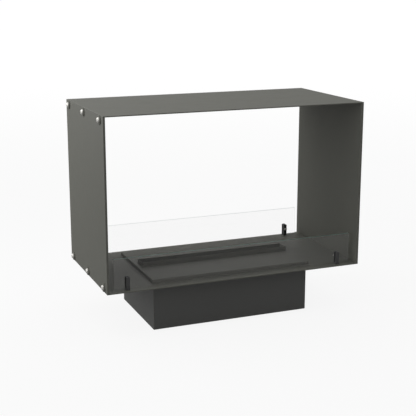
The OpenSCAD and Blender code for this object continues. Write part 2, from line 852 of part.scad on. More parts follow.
// Cap over the neck with a ring of grip flutes
module filler_cap() {
    flute_r = 2;
    color(deep_black) translate([neck_x, tank_y, cap_z]) difference() {
        union() {
            cylinder(d = cap_d, h = cap_h - 2);
            translate([0, 0, cap_h - 2]) cylinder(d1 = cap_d, d2 = cap_d - 4, h = 2);
        }
        translate([0, 0, -1]) cylinder(d = neck_d + 2 * cap_gap, h = cap_h - cap_t + 1);
        for (i = [0 : cap_flutes - 1]) rotate([0, 0, 360 / cap_flutes * i])
            translate([cap_d / 2 + flute_r / 2, 0, -1]) cylinder(r = flute_r, h = cap_h + 2, $fn = 24);
    }
}

// Peristaltic pump head with a hose port below and above and a round cover in front
module water_pump() {
    pump_head_r = 6;
    color(moulded_grey) difference() {
        union() {
            translate([pump_x, tank_y, pump_z]) rotate([90, 0, 90])
                linear_extrude(pump_t, center = true)
                    polygon(round_rect(pump_head, pump_head, pump_head_r));
            translate([pump_x, suction_y, pump_z - pump_head / 2 - spigot_l])
                cylinder(d = spigot_d, h = spigot_l + 1);
            translate([pump_x, delivery_y, pump_z + pump_head / 2 - 1])
                cylinder(d = spigot_d, h = spigot_l + 1);
        }
        translate([pump_x - pump_t / 2 - 1, tank_y, pump_z]) rotate([0, 90, 0])
            cylinder(d = pump_head * 0.7, h = 2);
    }
}

// Motor can behind the pump head, with its bearing boss
module pump_motor() {
    r = motor_d / 2;
    color(steel) translate([pump_x + pump_t / 2, tank_y, pump_z]) rotate([0, 90, 0])
        rotate_extrude() polygon([[0, 0], [r, 0], [r, motor_l - 2], [r - 2, motor_l],
            [r / 3, motor_l], [r / 3, motor_l + motor_boss], [0, motor_l + motor_boss]]);
}

// Angle that carries the pump from the housing's floor, with a hole for the motor
module pump_bracket() {
    t = 2;
    w = pump_head - 8;
    color(steel) translate([pump_x + pump_t / 2, tank_y, housing_t]) difference() {
        union() {
            translate([0, -w / 2, 0]) cube([t, w, pump_rise + pump_head / 2 - 6]);
            translate([0, -w / 2, 0]) cube([motor_l, w, t]);
        }
        translate([-1, 0, pump_rise]) rotate([0, 90, 0])
            cylinder(d = motor_d + 2 * fit_gap, h = t + 2);
    }
}

// Quarter bend of hose about the origin, from the +X side up to the +Z side
module hose_quarter() {
    rotate([90, 0, 0]) rotate_extrude(angle = 90)
        translate([hose_bend, 0]) difference() {
            circle(d = hose_d);
            circle(d = hose_bore);
        }
}

module hose_straight(l) {
    difference() {
        cylinder(d = hose_d, h = l);
        translate([0, 0, -1]) cylinder(d = hose_bore, h = l + 2);
    }
}

module suction_hose() {
    color(hose_clear) {
        translate([tank_x1 + fit_gap, suction_y, suction_z]) rotate([0, 90, 0])
            hose_straight(spigot_l - fit_gap);
        translate([tank_x1 + spigot_l, suction_y, suction_z + hose_bend]) mirror([0, 0, 1])
            hose_quarter();
        translate([pump_x, suction_y, suction_z + hose_bend]) hose_straight(spigot_l - fit_gap);
    }
}

module delivery_hose() {
    start_z = pump_z + pump_head / 2 + fit_gap;
    end_y = -basin_d / 2 - fit_gap;
    color(hose_clear) {
        translate([pump_x, delivery_y, start_z]) hose_straight(spigot_l - fit_gap);
        translate([pump_x, delivery_y + hose_bend, delivery_z - hose_bend])
            rotate([0, 0, -90]) hose_quarter();
        translate([pump_x, delivery_y + hose_bend, delivery_z]) rotate([-90, 0, 0])
            hose_straight(end_y - delivery_y - hose_bend);
    }
}

// Fan frame on the basin's rear wall: its axis is local z, with the struts at z = 0
module fan_frame(side) {
    color(deep_black) translate([side * fan_x, fan_y, fan_z]) rotate([-90, 0, 0]) {
        difference() {
            linear_extrude(fan_depth) polygon(round_rect(fan_size, fan_size, 4));
            translate([0, 0, -1]) cylinder(d = fan_bore_d, h = fan_depth + 2);
            for (u = [-1, 1], v = [-1, 1])
                translate([u * fan_hole_pitch / 2, v * fan_hole_pitch / 2, -1])
                    cylinder(d = fan_screw_d + 0.8, h = fan_depth + 2);
        }
        for (a = [45 : 90 : 315]) rotate([0, 0, a])
            translate([fan_hub_d / 2 - 2, -fan_strut_w / 2, fan_strut_step])
                cube([(fan_bore_d - fan_hub_d) / 2 + 4, fan_strut_w,
                      fan_strut_t - 2 * fan_strut_step]);
        cylinder(d = fan_hub_d, h = fan_strut_t);
        cylinder(d = spindle_d, h = rotor_z + fan_depth * 0.5);
    }
}

// Point on a blade: u runs from hub to tip, v across the blade, face is 1 above, -1 below
function blade_point(u, v, face) = let (
        r = blade_r0 + (blade_r1 - blade_r0) * u,
        a = (v - 0.5) * fan_twist - blade_sweep * u,
        bow = 4 * v * (1 - v),
        t = blade_edge_t + (blade_mid_t - blade_edge_t) * bow)
    [r * cos(a), r * sin(a), blade_h * v + blade_camber * bow + face * t / 2];

// Closed section of a blade at u: along the upper face and back along the lower one
function blade_section(u) = concat(
    [for (j = [0 : blade_steps]) blade_point(u, j / blade_steps, 1)],
    [for (j = [0 : blade_steps]) blade_point(u, 1 - j / blade_steps, -1)]);

// Swept, cambered blade lofted from hub to tip
module fan_blade() {
    m = 2 * (blade_steps + 1);
    last = blade_spans * m;
    polyhedron(
        points = [for (i = [0 : blade_spans]) each blade_section(i / blade_spans)],
        faces = concat(
            [for (i = [0 : blade_spans - 1], j = [0 : m - 1])
                let (a = i * m + j, b = i * m + (j + 1) % m)
                each [[a, b + m, a + m], [a, b, b + m]]],
            [for (j = [0 : blade_steps - 1])
                each [[j, m - 2 - j, j + 1], [j, m - 1 - j, m - 2 - j],
                      [last + j, last + j + 1, last + m - 2 - j],
                      [last + j, last + m - 2 - j, last + m - 1 - j]]]));
}

// Rotor: cup hub on the spindle and lofted blades
module fan_rotor(side) {
    color(deep_black) translate([side * fan_x, fan_y, fan_z]) rotate([-90, 0, 0])
        translate([0, 0, rotor_z]) {
            difference() {
                union() {
                    rotate_extrude() polygon([[0, 0], [fan_hub_d / 2, 0],
                        [fan_hub_d / 2, rotor_h - 2], [fan_hub_d / 2 - 2, rotor_h], [0, rotor_h]]);
                    for (i = [0 : fan_blades - 1])
                        rotate([0, 0, 360 / fan_blades * i]) translate([0, 0, 1]) fan_blade();
                }
                translate([0, 0, -1])
                    cylinder(d = spindle_d + 2 * run_gap, h = fan_depth * 0.5 + 2);
            }
        }
}

module fan_screws() {
    color(steel) for (s = [-1, 1], u = [-1, 1], v = [-1, 1])
        translate([s * fan_x + u * fan_hole_pitch / 2, fan_y + fan_depth,
                   fan_z + v * fan_hole_pitch / 2]) rotate([-90, 0, 0])
            domed_screw(fan_screw_d, 6.5, 2.4, fan_screw_l, 2);
}

// Place on the control board's top face, from its middle
module on_board(x, y) {
    translate([-board_x + x, rear_mid + y, board_z + board_t]) children();
}

module control_board() {
    color(board_green) difference() {
        translate([-board_x - board_w / 2, rear_mid - board_d / 2, board_z])
            cube([board_w, board_d, board_t]);
        for (u = [-1, 1], v = [-1, 1])
            translate([-board_x + u * (board_w / 2 - board_hole_inset),
                       rear_mid + v * (board_d / 2 - board_hole_inset), board_z - 1])
                cylinder(d = board_hole_d, h = board_t + 2);
    }
}

// Row of screw terminals along the board's rear edge
module terminal_block() {
    h = terminal_d + 1;
    w = terminal_ways * terminal_pitch;
    color(board_green) on_board(-board_w / 2 + 12, board_d / 2 - 6 - terminal_d) difference() {
        translate([w, 0, 0]) rotate([90, 0, -90]) linear_extrude(w) polygon([
            [0, 0], [0, h * 0.6], [-2, h * 0.65], [-2, h], [-terminal_d, h], [-terminal_d, 0]]);
        for (i = [0 : terminal_ways - 1]) translate([(i + 0.5) * terminal_pitch, 0, 0]) {
            translate([0, terminal_d / 2 + 1, h - 2]) cylinder(d = 4.6, h = 3);
            translate([-2, terminal_d - 3, 1.5]) cube([4, 4, 4.5]);
        }
    }
}

// Capacitors in front and a relay behind them
module board_parts() {
    r = capacitor_r;
    color(deep_black) for (i = [0 : capacitor_count - 1])
        on_board(board_w / 2 - 14 - i * (2 * r + 4), -board_d / 2 + 16)
            rotate_extrude() polygon([
                [0, 0], [r, 0], [r, 1.5], [r - 0.3, 2], [r - 0.3, 2.6], [r, 3.1],
                [r, capacitor_h - 0.6], [r - 0.6, capacitor_h], [0, capacitor_h]]);
    color(deep_black) on_board(board_w / 2 - 24, board_d / 2 - 18)
        translate([0, 0, relay_h]) mirror([0, 0, 1]) pan_block(relay_w, relay_d, relay_h, 1);
}

// Snap-in spacers: hexagon below the board, stud through it and a head above
module board_spacers() {
    color(moulded_white) for (u = [-1, 1], v = [-1, 1])
        translate([-board_x + u * (board_w / 2 - board_hole_inset),
                   rear_mid + v * (board_d / 2 - board_hole_inset), housing_t]) {
            hex_prism(5.5, spacer_h);
            cylinder(d = board_hole_d - 0.2, h = spacer_h + board_t + 1);
            translate([0, 0, spacer_h + board_t]) cylinder(d1 = board_hole_d + 1.2, d2 = 2, h = 2);
        }
}

// Finned heat sink of the mist makers' drivers, standing on the board
module heat_sink() {
    width = (sink_fins - 1) * sink_pitch + sink_fin_t;
    color(aluminium) on_board(-board_w / 2 + 6, -board_d / 2 + 12) {
        cube([width, sink_l, sink_base_h]);
        for (i = [0 : sink_fins - 1]) translate([i * sink_pitch, 0, 0])
            cube([sink_fin_t, sink_l, sink_h]);
    }
}

// Enclosed power supply with rows of air holes in its cover
module power_supply() {
    hole_rows = 3;
    hole_cols = 9;
    color(aluminium) translate([supply_x, rear_mid, housing_t]) difference() {
        translate([0, 0, supply_h]) mirror([0, 0, 1])
            pan_block(supply_w, supply_d, supply_h, 2);
        for (i = [0 : hole_cols - 1], j = [0 : hole_rows - 1])
            translate([(i - (hole_cols - 1) / 2) * 9, (j - (hole_rows - 1) / 2) * 11,
                       supply_h - 2])
                cylinder(d = 5, h = 3, $fn = 24);
    }
}

// Rocker switch in the rear wall: local z points out of the wall, local x is sideways
module at_switch() {
    translate([switch_x, housing_d / 2, rear_rise]) rotate([-90, 0, 0]) children();
}

module switch_frame() {
    color(deep_black) at_switch() difference() {
        union() {
            linear_extrude(switch_bezel) polygon(round_rect(switch_w, switch_h, 1.5));
            translate([-switch_body_w / 2, -switch_body_h / 2, -switch_depth])
                cube([switch_body_w, switch_body_h, switch_depth + eps]);
        }
        translate([-rocker_room_l / 2, -rocker_room_w / 2, -10])
            cube([rocker_room_l, rocker_room_w, 20]);
        translate([0, 0, rocker_pivot]) rotate([90, 0, 0])
            cylinder(d = rocker_pin_d + 2 * run_gap, h = rocker_room_w + 2, center = true);
    }
}

module switch_rocker() {
    color(rocker_grey) at_switch()
        translate([0, 0, rocker_pivot]) rotate([0, rocker_tilt, 0]) {
            rotate([90, 0, 0]) linear_extrude(rocker_w, center = true)
                polygon([[-rocker_l / 2, 1], [-rocker_l / 2, 6], [0, 4.4], [rocker_l / 2, 6],
                         [rocker_l / 2, 1], [2, -2.5], [-2, -2.5]]);
            rotate([90, 0, 0])
                cylinder(d = rocker_pin_d, h = rocker_room_w + 1.4, center = true);
        }
}

// Cable gland: hexagon body and thread through the rear wall, dome nut outside
module at_gland() {
    translate([gland_x, housing_d / 2, rear_rise]) rotate([-90, 0, 0]) children();
}

module cable_gland() {
    color(deep_black) at_gland() difference() {
        union() {
            hex_prism(gland_flats, gland_body_l);
            translate([0, 0, -gland_thread_l]) cylinder(d = gland_d, h = gland_thread_l + 1);
            cylinder(d = gland_d - 2, h = gland_body_l + gland_dome_l - 4);
        }
        translate([0, 0, -gland_thread_l - 1])
            cylinder(d = gland_bore, h = gland_thread_l + gland_body_l + gland_dome_l);
    }
}

module gland_dome_nut() {
    r = gland_flats / 2;
    color(deep_black) at_gland() translate([0, 0, gland_body_l]) difference() {
        union() {
            hex_prism(gland_flats - 1, gland_dome_l * 0.6);
            rotate_extrude() polygon([[0, 0], [r - 1, 0], [r - 1, gland_dome_l * 0.7],
                [r - 3, gland_dome_l * 0.92], [r - 5, gland_dome_l], [0, gland_dome_l]]);
        }
        translate([0, 0, -1])
            cylinder(d = gland_d - 2 + 2 * thread_gap, h = gland_dome_l - 3 + 2 * thread_gap);
        cylinder(d = gland_bore, h = gland_dome_l + 2);
    }
}

module gland_lock_nut() {
    color(deep_black) at_gland() translate([0, 0, -housing_t - 4]) difference() {
        hex_prism(gland_flats, 4);
        translate([0, 0, -1]) cylinder(d = gland_d + 2 * thread_gap, h = 6);
    }
}

top_panel();
floor_panel();
wall(-1);  // left_wall
wall(1);  // right_wall
cover(-1);  // left_cover
cover(1);  // right_cover
screw_washers();
cover_screws();
glass(-1);  // front_glass
glass(1);  // rear_glass
glass_clip(-1, -1);  // glass_clip_front_left
glass_clip(1, -1);  // glass_clip_front_right
glass_clip(-1, 1);  // glass_clip_rear_left
glass_clip(1, 1);  // glass_clip_rear_right
glass_pads();
clip_pinch_screws();
clip_foot_screws();
deck_plate();
deck_seal();
housing_floor();
housing_wall();  // housing_front
housing_rear();
housing_end(-1);  // housing_left_end
housing_end(1);  // housing_right_end
housing_flange();
basin_lid();
mist_outlet();
light_bar(-1);  // front_light_bar
light_bar(1);  // rear_light_bar
light_lens(-1);  // front_light_lens
light_lens(1);  // rear_light_lens
mist_basin();
mist_makers();
maker_nuts();
float_stem();
level_float();
water_tank();
filler_cap();
water_pump();
pump_motor();
pump_bracket();
suction_hose();
delivery_hose();
fan_frame(-1);  // left_fan_frame
fan_frame(1);  // right_fan_frame
fan_rotor(-1);  // left_fan_rotor
fan_rotor(1);  // right_fan_rotor
fan_screws();
control_board();
terminal_block();
board_parts();
board_spacers();
heat_sink();
power_supply();
switch_frame();
switch_rocker();
cable_gland();
gland_dome_nut();
gland_lock_nut();
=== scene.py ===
"""Looks of a see-through water vapour fireplace: finishes, softened edges, panes and a studio."""

import json
import math

import bmesh
import bpy
from bpy.props import FloatProperty, FloatVectorProperty, PointerProperty
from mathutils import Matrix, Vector

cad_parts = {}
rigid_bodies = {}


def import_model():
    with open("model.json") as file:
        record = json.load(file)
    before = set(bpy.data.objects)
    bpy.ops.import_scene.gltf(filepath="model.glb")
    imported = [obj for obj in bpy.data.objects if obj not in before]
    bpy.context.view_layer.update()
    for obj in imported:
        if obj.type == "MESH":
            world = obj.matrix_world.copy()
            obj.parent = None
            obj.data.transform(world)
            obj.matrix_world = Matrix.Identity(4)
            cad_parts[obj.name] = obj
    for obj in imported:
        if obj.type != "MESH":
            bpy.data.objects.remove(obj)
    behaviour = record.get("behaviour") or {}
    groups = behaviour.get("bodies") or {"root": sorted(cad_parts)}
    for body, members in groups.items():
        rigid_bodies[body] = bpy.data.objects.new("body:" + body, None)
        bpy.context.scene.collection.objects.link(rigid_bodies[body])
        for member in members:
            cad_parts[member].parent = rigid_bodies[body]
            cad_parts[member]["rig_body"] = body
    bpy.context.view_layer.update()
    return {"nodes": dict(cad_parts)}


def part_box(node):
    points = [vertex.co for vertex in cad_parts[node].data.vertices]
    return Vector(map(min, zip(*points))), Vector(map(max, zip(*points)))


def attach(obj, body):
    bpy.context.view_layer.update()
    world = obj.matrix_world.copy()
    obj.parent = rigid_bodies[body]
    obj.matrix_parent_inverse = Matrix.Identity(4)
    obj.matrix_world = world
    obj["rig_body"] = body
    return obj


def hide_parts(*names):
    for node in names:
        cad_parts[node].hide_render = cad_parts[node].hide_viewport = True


bl_info = {
    "name": "Water vapour fireplace",
    "version": (1, 0, 0),
    "blender": (4, 5, 0),
    "location": "3D View > Sidebar > Fireplace",
    "description": "Finishes, glass panes and studio for a see-through water vapour fireplace",
    "category": "Object",
}

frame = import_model()


# Sizes, colours and lamps that a user may change

def length(name, default, description, low=0.0, high=1.0):
    return FloatProperty(name=name, default=default, description=description,
                         min=low, max=high, precision=5, unit="LENGTH", subtype="DISTANCE")


def tint(name, default, description):
    return FloatVectorProperty(name=name, default=default, description=description,
                               size=len(default), min=0.0, max=1.0, subtype="COLOR")


def power(name, default, description):
    return FloatProperty(name=name, default=default, description=description,
                         min=0.0, max=50.0)


class FireplaceSizes(bpy.types.PropertyGroup):
    """Small sizes that the solids leave out"""
    sheet_round: length("Sheet edge radius", 0.0005,
                        "Radius of the coat over the edges of the 3 mm sheets", 0.0, 0.0015)
    thin_round: length("Thin sheet edge radius", 0.0003,
                       "Radius of the coat over the edges of the deck, outlet and housing",
                       0.0, 0.0007)
    clip_round: length("Clip edge radius", 0.0005,
                       "Radius along the edges of the glass clips", 0.0, 0.0015)
    pane_arris: length("Pane arris", 0.0004,
                       "Width of the ground chamfer round each pane", 0.0001, 0.0015)
    pane_corner: length("Pane corner radius", 0.002,
                        "Radius of the four corners of each pane", 0.0005, 0.02)
    peel: length("Orange peel", 0.0012,
                 "Distance between the small waves in the powder coat", 0.0002, 0.01)


class FireplaceColours(bpy.types.PropertyGroup):
    """Colours of the visible finishes, as linear values"""
    coat: tint("Powder coat", (0.107, 0.108, 0.0935), "Satin dark grey of the frame and deck")
    # painted highlight: the edge coat is lighter than the coat, for the light the rounded edges
    # catch
    edge_highlight_coat: tint("Coat over edges, painted highlight", (0.122, 0.123, 0.108),
                    "The same coat made lighter over an edge, as a painted highlight")
    housing: tint("Housing coat", (0.103, 0.104, 0.1), "Plainer grey of the housing's sheets")
    clip: tint("Clip black", (0.06, 0.06, 0.06), "Black finish of the glass clips")
    glass: tint("Pane", (1.0, 1.0, 1.0), "Faces of the glass panes")
    edge_front: tint("Front pane's upper edge", (0.5, 0.82, 0.7), "Green of the clear float glass")
    edge_rear: tint("Rear pane's upper edge", (0.7, 0.76, 0.74), "Paler green of the coated glass")
    glass_low: tint("Lower pane edge", (0.9, 0.91, 0.9), "Ends and lower edges of the panes")
    stainless: tint("Stainless", (0.74, 0.73, 0.7), "Screws, stem, mist makers and pump bracket")
    aluminium: tint("Aluminium", (0.5, 0.51, 0.52), "Light bars, heat sink and supply")
    lens: tint("Light lens", (0.62, 0.64, 0.63), "Frosted strips over the lamps")
    lens_lamp: tint("Lamp behind the lens", (0.85, 0.78, 0.52), "Yellow of the lamps that shows")
    basin: tint("Basin grey", (0.27, 0.29, 0.28), "Moulded basin, its nuts and the pump head")
    tank: tint("Tank white", (0.66, 0.68, 0.66), "Blow-moulded tank, float and spacers")
    hose: tint("Hose", (0.52, 0.56, 0.54), "Soft milky tube")
    hose_dull: tint("Hose, dull", (0.46, 0.51, 0.49), "Duller parts of the hose")
    hose_pale: tint("Hose, pale", (0.62, 0.65, 0.63), "Paler parts of the hose")
    black_plastic: tint("Black plastic", (0.022, 0.022, 0.023),
                        "Fans, cap, switch frame, gland and the board's parts")
    rocker: tint("Rocker grey", (0.06, 0.06, 0.06), "Rocker of the switch")
    rubber: tint("Rubber", (0.026, 0.026, 0.026), "Pads and seal")
    board: tint("Board green", (0.02, 0.09, 0.04), "Solder mask of the control board")
    solder: tint("Solder", (0.55, 0.54, 0.5), "Pads of the control board")
    terminal: tint("Terminal green", (0.03, 0.17, 0.07), "Terminal block")
    floor: tint("Studio floor", (0.36, 0.36, 0.36), "Floor as the light finds it")
    floor_pale: tint("Pale floor", (0.05, 0.05, 0.05), "Floor as it is seen, without its glow")
    floor_glow: tint("Floor glow", (0.897, 0.897, 0.897), "Even part of the pale floor")


class FireplaceStudio(bpy.types.PropertyGroup):
    """Camera and lamps"""
    lens: FloatProperty(name="Lens", default=82.3, min=20.0, max=300.0, unit="CAMERA",
                        description="Focal length on a 36 mm wide frame")
    sky: power("Sky", 0.25, "Even light from all round")
    shine: power("Mirrored studio", 0.275, "How bright glossy surfaces see the surroundings")
    top: power("Top lamp", 1.67, "Soft lamp above")
    left: power("Left lamp", 0.72, "Soft lamp on the left")
    rear: power("Rear lamp", 0.3, "Soft lamp behind and above")
    front: power("Front lamp", 0.95, "Soft lamp low on the left, in front")
    right: power("Right lamp", 0.62, "Soft lamp on the right")
    softbox: power("Softbox", 4.5, "Round lamp beyond the rear left corner, in watts")


def sizes():
    return bpy.context.scene.fireplace_sizes


def colours():
    return bpy.context.scene.fireplace_colours


def studio():
    return bpy.context.scene.fireplace_studio


# Shader maths

COLOUR_A, COLOUR_B, MIXED_COLOUR = 6, 7, 2  # sockets of a Mix node that is set to colours
NOISE_MIDDLE = 0.5
HALF_BOUNCE = 0.5  # bounces are whole, so this tells none from one


class Socket:
    """One socket of a finish. Sums and products of sockets add their Math nodes."""

    def __init__(self, finish, output):
        self.finish, self.output = finish, output

    def _with(self, operation, first, second):
        return self.finish.add("ShaderNodeMath", {"operation": operation}, {0: first, 1: second})

    def __add__(self, other):
        return self._with("ADD", self, other)

    def __radd__(self, other):
        return self._with("ADD", other, self)

    def __sub__(self, other):
        return self._with("SUBTRACT", self, other)

    def __rsub__(self, other):
        return self._with("SUBTRACT", other, self)

    def __mul__(self, other):
        return self._with("MULTIPLY", self, other)

    def __rmul__(self, other):
        return self._with("MULTIPLY", other, self)

    def __mod__(self, other):
        return self._with("FLOORED_MODULO", self, other)

    def __gt__(self, other):
        return self._with("GREATER_THAN", self, other)

    def __lt__(self, other):
        return self._with("LESS_THAN", self, other)

    def __abs__(self):
        return self.finish.add("ShaderNodeMath", {"operation": "ABSOLUTE"}, {0: self})

    def or_more(self, other):
        return self._with("MAXIMUM", self, other)

    def sway(self, amount):
        """A noise from 0 to 1 turned into a value that sways about 0, by amount in all."""
        return (self - NOISE_MIDDLE) * amount

    def from_middle(self, pitch):
        """Distance to the middle of a cell, where the cells repeat at a pitch."""
        return abs(self % pitch - pitch / 2)


class NodeWork:
    """Adds nodes to one tree, of a finish or of the sky."""

    def __init__(self, tree):
        self.tree = tree
        self.spot = None

    def add(self, kind, settings=None, inputs=None, output=0):
        """A node of this kind: its settings first, then values or links, by name or number."""
        node = self.tree.nodes.new(kind)
        for name, value in (settings or {}).items():
            setattr(node, name, value)
        for key, value in (inputs or {}).items():
            self.plug(node.inputs[key], value)
        return Socket(self, node.outputs[output])

    def plug(self, socket, value):
        """A link where the value is a socket, otherwise a value on the socket itself."""
        if isinstance(value, Socket):
            self.tree.links.new(value.output, socket)
        elif hasattr(value, "__len__") and len(value) == 3 and socket.type == "RGBA":
            socket.default_value = (*value, 1.0)
        else:
            socket.default_value = value

    def place(self):
        """Position on the piece in the frame's own metres."""
        if self.spot is None:
            self.spot = self.add("ShaderNodeTexCoord", output="Object")
        return self.spot

    def axis(self, letter):
        """Position along X, Y or Z."""
        return self.add("ShaderNodeSeparateXYZ", inputs={0: self.place()}, output=letter)

    def stretched(self, x, y, z):
        """Position with each axis scaled: below 1, what is drawn on it grows longer."""
        return self.add("ShaderNodeVectorMath", {"operation": "MULTIPLY"},
                        {0: self.place(), 1: (x, y, z)})

    def noise(self, period, detail=2.0, rough=0.5, stretch=None, warp=0.0):
        """Even noise from 0 to 1 whose features repeat about every period metres."""
        spot = self.stretched(*stretch) if stretch else self.place()
        return self.add("ShaderNodeTexNoise", {},
                        {"Vector": spot, "Scale": 1.0 / period, "Detail": detail,
                         "Roughness": rough, "Distortion": warp})

    def specks(self, period):
        """Distance to the nearest of many scattered points, 0 on a point."""
        return self.add("ShaderNodeTexVoronoi", {},
                        {"Vector": self.place(), "Scale": 1.0 / period})

    def step(self, value, low, high):
        """0 below low, 1 above high and smooth between."""
        return self.add("ShaderNodeMapRange", {"interpolation_type": "SMOOTHSTEP"},
                        {"Value": value, "From Min": low, "From Max": high})

    def mix(self, factor, first, second):
        return self.add("ShaderNodeMix", {"data_type": "RGBA"},
                        {0: factor, COLOUR_A: first, COLOUR_B: second}, output=MIXED_COLOUR)

    def shade(self, colour, value):
        """The colour made lighter or darker by a value."""
        return self.add("ShaderNodeVectorMath", {"operation": "SCALE"},
                        {0: colour, "Scale": value})

    def seen_rays(self):
        """Two switches: rays that show what the eye sees, and those of them that are mirrored."""
        camera, glossy, glass, spread, mirrored = (
            self.add("ShaderNodeLightPath", output=name)
            for name in ("Is Camera Ray", "Is Glossy Ray", "Is Transmission Ray",
                         "Diffuse Depth", "Glossy Depth"))
        seen = camera.or_more(glossy).or_more(glass) * (spread < HALF_BOUNCE)
        return seen, mirrored > HALF_BOUNCE


class Finish(NodeWork):
    """A material of this fireplace and the nodes that make it."""

    def __init__(self, name, colour, roughness, metallic=0.0, **constants):
        self.material = bpy.data.materials.new(name)
        self.material.use_nodes = True
        super().__init__(self.material.node_tree)
        self.surface = self.tree.nodes["Principled BSDF"]
        self.set(Base_Color=colour, Roughness=roughness, Metallic=metallic, **constants)

    def set(self, **inputs):
        """Values or links of the surface's sockets, with _ for each space in a name."""
        for name, value in inputs.items():
            self.plug(self.surface.inputs[name.replace("_", " ")], value)
        return self

    def relief(self, height, depth):
        """Bumps that stand depth metres high where the height is 1."""
        return self.set(Normal=self.add("ShaderNodeBump", {}, {
            "Height": height, "Distance": depth, "Strength": 1.0}))


# The finishes of this object

COAT_ROUGHNESS = 0.5
COAT_SHINE, EDGE_SHINE = 0.22, 0.35  # the coat is drawn thin and smooth over an edge


def powder_coat(name, colour, shine=COAT_SHINE):
    """Satin powder coat: orange peel, fine grain and faint smears."""
    finish = Finish(name, colour, COAT_ROUGHNESS, Specular_IOR_Level=shine)
    peel = sizes().peel
    cloud = finish.noise(period=0.11, detail=3.0)
    wave = finish.noise(period=peel, detail=1.0)
    grain = finish.noise(period=peel * 0.35)
    smear = finish.noise(period=0.035, detail=4.0, rough=0.6, warp=0.8)
    finish.set(Base_Color=finish.shade(colour, 1.0 + cloud.sway(0.05) + grain.sway(0.16)),
               Roughness=COAT_ROUGHNESS + cloud.sway(0.08) + smear.sway(0.08) + wave.sway(0.06))
    return finish.relief(wave * 0.75 + grain * 0.25, depth=0.00006)


def coat():
    return powder_coat("satin dark coat", colours().coat)


def housing_coat():
    return powder_coat("housing coat", colours().housing)


def edge_highlight_coat():
    # Painted highlight: the lighter colour on the rounded edges stands in for the light they
    # catch.
    return powder_coat("coat over an edge", colours().edge_highlight_coat, EDGE_SHINE)


def clip_black():
    """Black electroplated finish of the clips, a little rubbed."""
    c = colours().clip
    finish = Finish("clip black", c, roughness=0.42, Specular_IOR_Level=0.4)
    cloud = finish.noise(period=0.006, detail=3.0)
    grain = finish.noise(period=0.0005)
    finish.set(Base_Color=finish.shade(c, 0.85 + cloud * 0.3), Roughness=0.34 + cloud * 0.16)
    return finish.relief(grain, depth=0.00003)


CLEAR_IOR = {"front": 1.46, "rear": 1.3}  # the rear pane is coated against reflections
UPPER_EDGE_IOR = 1.3
LOWER_EDGE_IOR = 1.01  # bends hardly any light, so the lower edges stay unseen


def clear_glass(side):
    """Float glass with hardly any tint and a breath of smears."""
    finish = Finish(side + " clear glass", colours().glass, roughness=0.0,
                    Transmission_Weight=1.0, IOR=CLEAR_IOR[side])
    smear = finish.noise(period=0.07, detail=4.0, stretch=(1.0, 1.0, 0.5), warp=1.2)
    return finish.set(Roughness=finish.step(smear, 0.5, 0.8) * 0.02)


def glass_edge(name, colour, roughness, transmission, ior):
    """Polished edge of a pane with faint lines from the grinding."""
    finish = Finish(name, colour, roughness, Transmission_Weight=transmission, IOR=ior)
    lines = finish.noise(period=0.004, stretch=(0.2, 1.0, 1.0))
    return finish.set(Base_Color=finish.shade(colour, 0.9 + lines * 0.2),
                      Roughness=roughness + lines.sway(0.2))


def upper_edge(side):
    """Top edge of a pane, green from the depth of glass below it."""
    return glass_edge(side + " upper edge", getattr(colours(), "edge_" + side), roughness=0.45,
                      transmission=0.88, ior=UPPER_EDGE_IOR)


def lower_edge():
    """Ends and foot of a pane, which hardly show."""
    return glass_edge("lower glass edge", colours().glass_low, roughness=0.1,
                      transmission=0.95, ior=LOWER_EDGE_IOR)


STAINLESS_ROUGHNESS, MATT_ROUGHNESS = 0.46, 0.66


def stainless(name="stainless", roughness=STAINLESS_ROUGHNESS):
    """Turned stainless steel with fine tool marks and dull spots."""
    c = colours().stainless
    finish = Finish(name, c, roughness, metallic=1.0)
    turned = finish.noise(period=0.0006, stretch=(1.0, 0.3, 1.0))
    cloud = finish.noise(period=0.005, detail=3.0)
    finish.set(Base_Color=finish.shade(c, 0.9 + cloud * 0.15),
               Roughness=roughness + cloud.sway(0.2))
    return finish.relief(turned, depth=0.00001)


def aluminium():
    """Bare aluminium drawn along its length."""
    c = colours().aluminium
    finish = Finish("drawn aluminium", c, roughness=0.35, metallic=1.0)
    drawn = finish.noise(period=0.0008, detail=3.0, stretch=(0.02, 1.0, 1.0))
    cloud = finish.noise(period=0.02, detail=3.0)
    finish.set(Base_Color=finish.shade(c, 0.88 + drawn * 0.2), Roughness=0.28 + cloud * 0.18)
    return finish.relief(drawn, depth=0.00002)


GRID_START = 10.0  # grids of cells are counted from this many metres to the left
BULB_PITCH = 0.0125
BULB_CORE, BULB_RIM = 0.0012, 0.0032  # how far from its middle a lamp shows through the lens


def frosted_lens():
    """Frosted strip with a faint row of lamps behind it."""
    c = colours().lens
    finish = Finish("frosted lens", c, roughness=0.5)
    reach = (finish.axis("X") + GRID_START).from_middle(BULB_PITCH)
    lamp = 1.0 - finish.step(reach, BULB_CORE, BULB_RIM)
    frost = finish.noise(period=0.0008)
    frosted = finish.shade(c, 0.93 + frost * 0.14)
    finish.set(Base_Color=finish.mix(lamp * 0.5, frosted, colours().lens_lamp),
               Roughness=0.42 + frost * 0.15)
    return finish.relief(frost, depth=0.00002)


def moulded(name, colour, roughness):
    """Moulded plastic with a fine eroded grain and slight flow marks."""
    finish = Finish(name, colour, roughness)
    grain = finish.noise(period=0.0007)
    flow = finish.noise(period=0.05, detail=3.0, warp=0.6)
    finish.set(Base_Color=finish.shade(colour, 1.0 + flow.sway(0.12) + grain.sway(0.06)),
               Roughness=roughness + flow.sway(0.12))
    return finish.relief(grain, depth=0.00003)


def basin_grey():
    return moulded("basin grey", colours().basin, roughness=0.48)


def black_plastic():
    return moulded("black plastic", colours().black_plastic, roughness=0.42)


def terminal_green():
    return moulded("terminal green", colours().terminal, roughness=0.4)


def rocker_grey():
    return moulded("rocker grey", colours().rocker, roughness=0.35)


